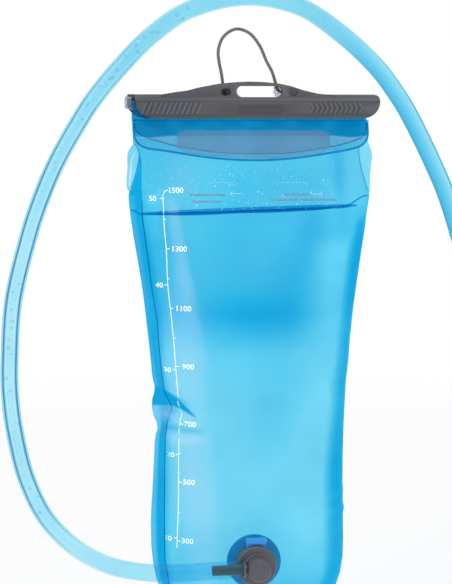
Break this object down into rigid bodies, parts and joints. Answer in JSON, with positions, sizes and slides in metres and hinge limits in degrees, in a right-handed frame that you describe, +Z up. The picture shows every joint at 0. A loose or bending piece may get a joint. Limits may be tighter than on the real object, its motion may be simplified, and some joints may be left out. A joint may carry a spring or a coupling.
{
  "type": "hydration bladder",
  "caption": "Roll-top film drinking-water reservoir with slide-on closure bar, hang cord, quick-connect port, drinking tube and bite valve.",
  "frame": {"origin": "centre of the hang slot in the closure bar's handle", "axes": "+Z up along the hanging bag, +X along the closure bar towards its closed end, +Y to the back (the side against the wearer's pack)"},
  "size_m": [0.3406, 0.0768, 0.4397],
  "materials": {
    "blue_film": "clear tinted film, glossy",
    "frosted_film": "frosted film",
    "clear_rod": "clear moulded plastic",
    "grey_plastic": "fine moulded texture",
    "grey_cord": "braided",
    "blue_moulding": "soft moulded",
    "white_plastic": "moulded",
    "seal_rubber": "smooth",
    "steel_wire": "drawn wire",
    "button_plastic": "satin",
    "blue_tube": "clear tinted tube",
    "silicone": "translucent silicone",
    "clear_cover": "clear moulded"
  },
  "bodies": {
    "reservoir": {"front_panel": "blue_film", "rear_panel": "blue_film", "sealing_rod": "clear_rod", "port_flange": "blue_moulding", "port_socket": "grey_plastic", "valve_cage": "white_plastic"},
    "flap": {"front_panel_lip": "blue_film", "rear_panel_lip": "blue_film", "pull_tab": "frosted_film"},
    "bar": {"closure_bar": "grey_plastic"},
    "cord": {"hang_cord": "grey_cord"},
    "button": {"release_button": "button_plastic", "button_springs": "steel_wire"},
    "poppet": {"valve_poppet": "white_plastic", "poppet_seal": "seal_rubber", "valve_spring": "steel_wire"},
    "plug": {"connector_plug": "grey_plastic", "plug_oring": "seal_rubber"},
    "hose": {"hose_elbow": "grey_plastic", "elbow_oring": "seal_rubber", "drink_tube": "blue_tube", "shutoff_body": "grey_plastic", "shutoff_oring": "seal_rubber"},
    "mouthpiece": {"shutoff_collar": "button_plastic", "bite_valve": "silicone"},
    "cover": {"dust_cover": "clear_cover"}
  },
  "joints": [
    {"name": "bar_slide", "type": "slide", "parent": "reservoir", "child": "bar", "axis": [1, 0, 0], "range_m": [0, 0.18]},
    {"name": "flap_lift", "type": "hinge", "parent": "reservoir", "child": "flap", "pos_m": [-0.0062, -0.0019, -0.0201], "axis": [-1, 0, 0], "range_deg": [0, 45]},
    {"name": "cord_swing", "type": "hinge", "parent": "bar", "child": "cord", "pos_m": [-0.0062, 0.0036, -0.0002], "axis": [-1, 0, 0], "range_deg": [0, 90]},
    {"name": "button_press", "type": "slide", "parent": "reservoir", "child": "button", "axis": [0, 0, -1], "range_m": [0, 0.0018], "stiffness_N_per_m": 60, "springref_m": -0.0008, "deforming": ["button_springs"]},
    {"name": "plug_pull", "type": "slide", "parent": "reservoir", "child": "plug", "axis": [0, -1, 0], "range_m": [0, 0.022]},
    {"name": "poppet_close", "type": "slide", "parent": "reservoir", "child": "poppet", "axis": [0, -1, 0], "range_m": [0, 0.0026]},
    {"name": "hose_swivel", "type": "hinge", "parent": "plug", "child": "hose", "pos_m": [-0.0062, -0.042, -0.3272], "axis": [0, 1, 0], "range_deg": [-20, 20], "stiffness_Nm_per_rad": 0.6, "springref_deg": 0.46},
    {"name": "shutoff_twist", "type": "hinge", "parent": "hose", "child": "mouthpiece", "pos_m": [0.1498, -0.042, -0.2042], "axis": [0, 0, 1], "range_deg": [0, 90]},
    {"name": "cover_pull", "type": "slide", "parent": "mouthpiece", "child": "cover", "axis": [0, 0, -1], "range_m": [0, 0.045], "stiffness_N_per_m": 25, "springref_m": -0.003}
  ],
  "couplings": [
    {"joint": "poppet_close", "follows": "plug_pull", "ratio": 0.118}
  ]
}
